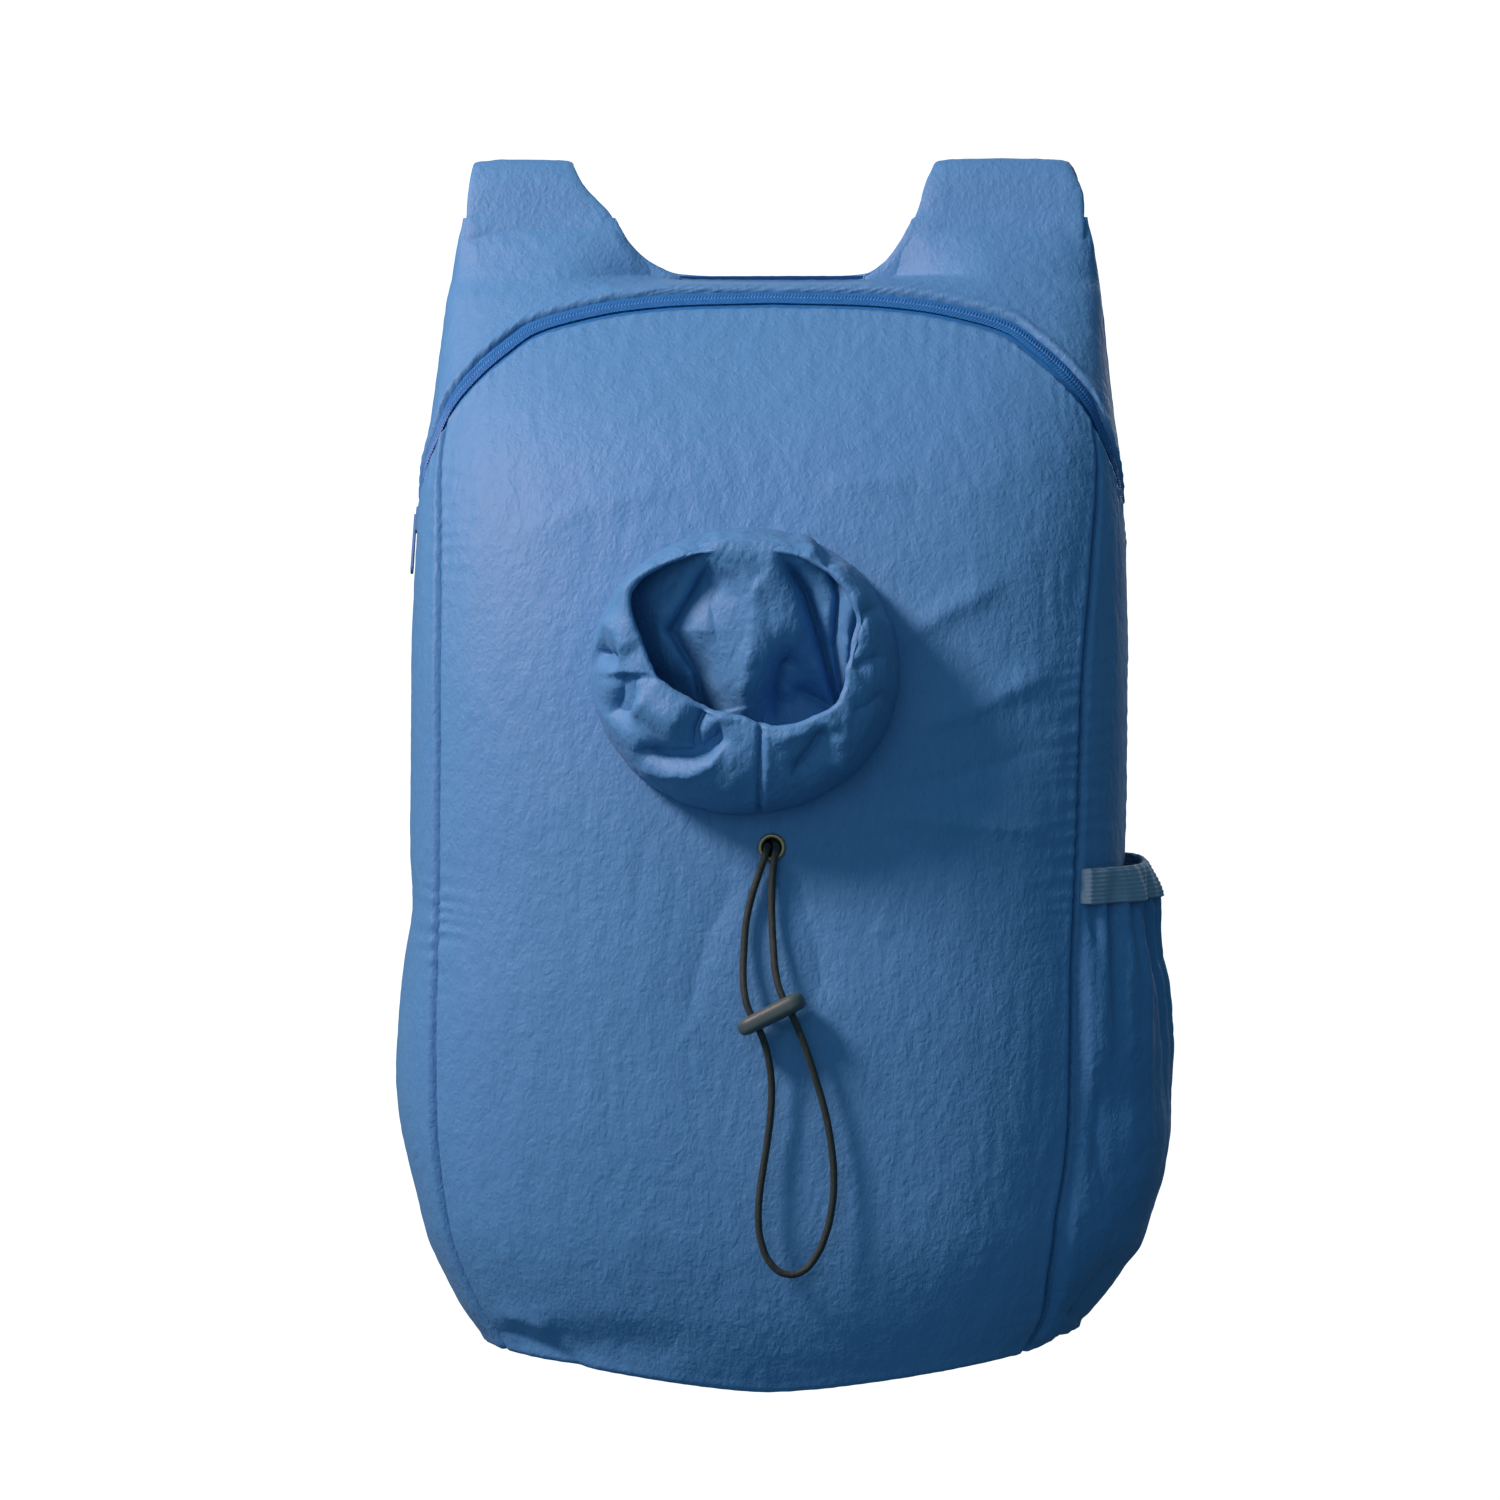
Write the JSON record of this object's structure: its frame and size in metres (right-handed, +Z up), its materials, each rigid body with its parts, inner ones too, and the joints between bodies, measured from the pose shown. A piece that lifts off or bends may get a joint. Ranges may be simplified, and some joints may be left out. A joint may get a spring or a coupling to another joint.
{
  "type": "packable backpack",
  "caption": "Stuffed thin-nylon packable backpack with arched zip, round gathered pouch collar on the front, drawcord with cord lock, side pocket and padded shoulder straps.",
  "frame": {"origin": "middle of the line under the two shoulder folds, where the straps rest on a hanger or on shoulders", "axes": "+X to the right as one faces the front, +Y back towards the wearer, +Z up"},
  "size_m": [0.297, 0.2169, 0.4832],
  "materials": {
    "nylon_cloth": "crinkled, soft sheen",
    "strap_cloth": "crinkled, soft sheen",
    "pocket_cloth": "crinkled, soft sheen",
    "elastic_band": "matt knitted",
    "zip": "satin coil",
    "webbing": "woven ribs",
    "adjuster_plastic": "satin moulded",
    "eyelet_metal": "antique",
    "drawcord": "braided",
    "lock_plastic": "matt moulded"
  },
  "bodies": {
    "root": {"front_panel": "nylon_cloth", "side_panel_left": "nylon_cloth", "side_panel_right": "nylon_cloth", "back_panel": "nylon_cloth", "bottom_panel": "nylon_cloth", "yoke": "nylon_cloth", "collar": "nylon_cloth", "pouch": "nylon_cloth", "zip_tape_lower": "zip", "zip_tape_upper": "zip", "zip_coil": "zip", "zip_slider": "zip", "eyelet": "eyelet_metal", "drawcord": "drawcord", "drawcord_hidden": "drawcord", "cord_lock": "lock_plastic", "side_pocket": "pocket_cloth", "pocket_band": "elastic_band", "shoulder_strap_left": "strap_cloth", "strap_loop_left": "webbing", "webbing_left": "webbing", "ladder_lock_left": "adjuster_plastic", "shoulder_strap_right": "strap_cloth", "strap_loop_right": "webbing", "webbing_right": "webbing", "ladder_lock_right": "adjuster_plastic"}
  },
  "joints": []
}
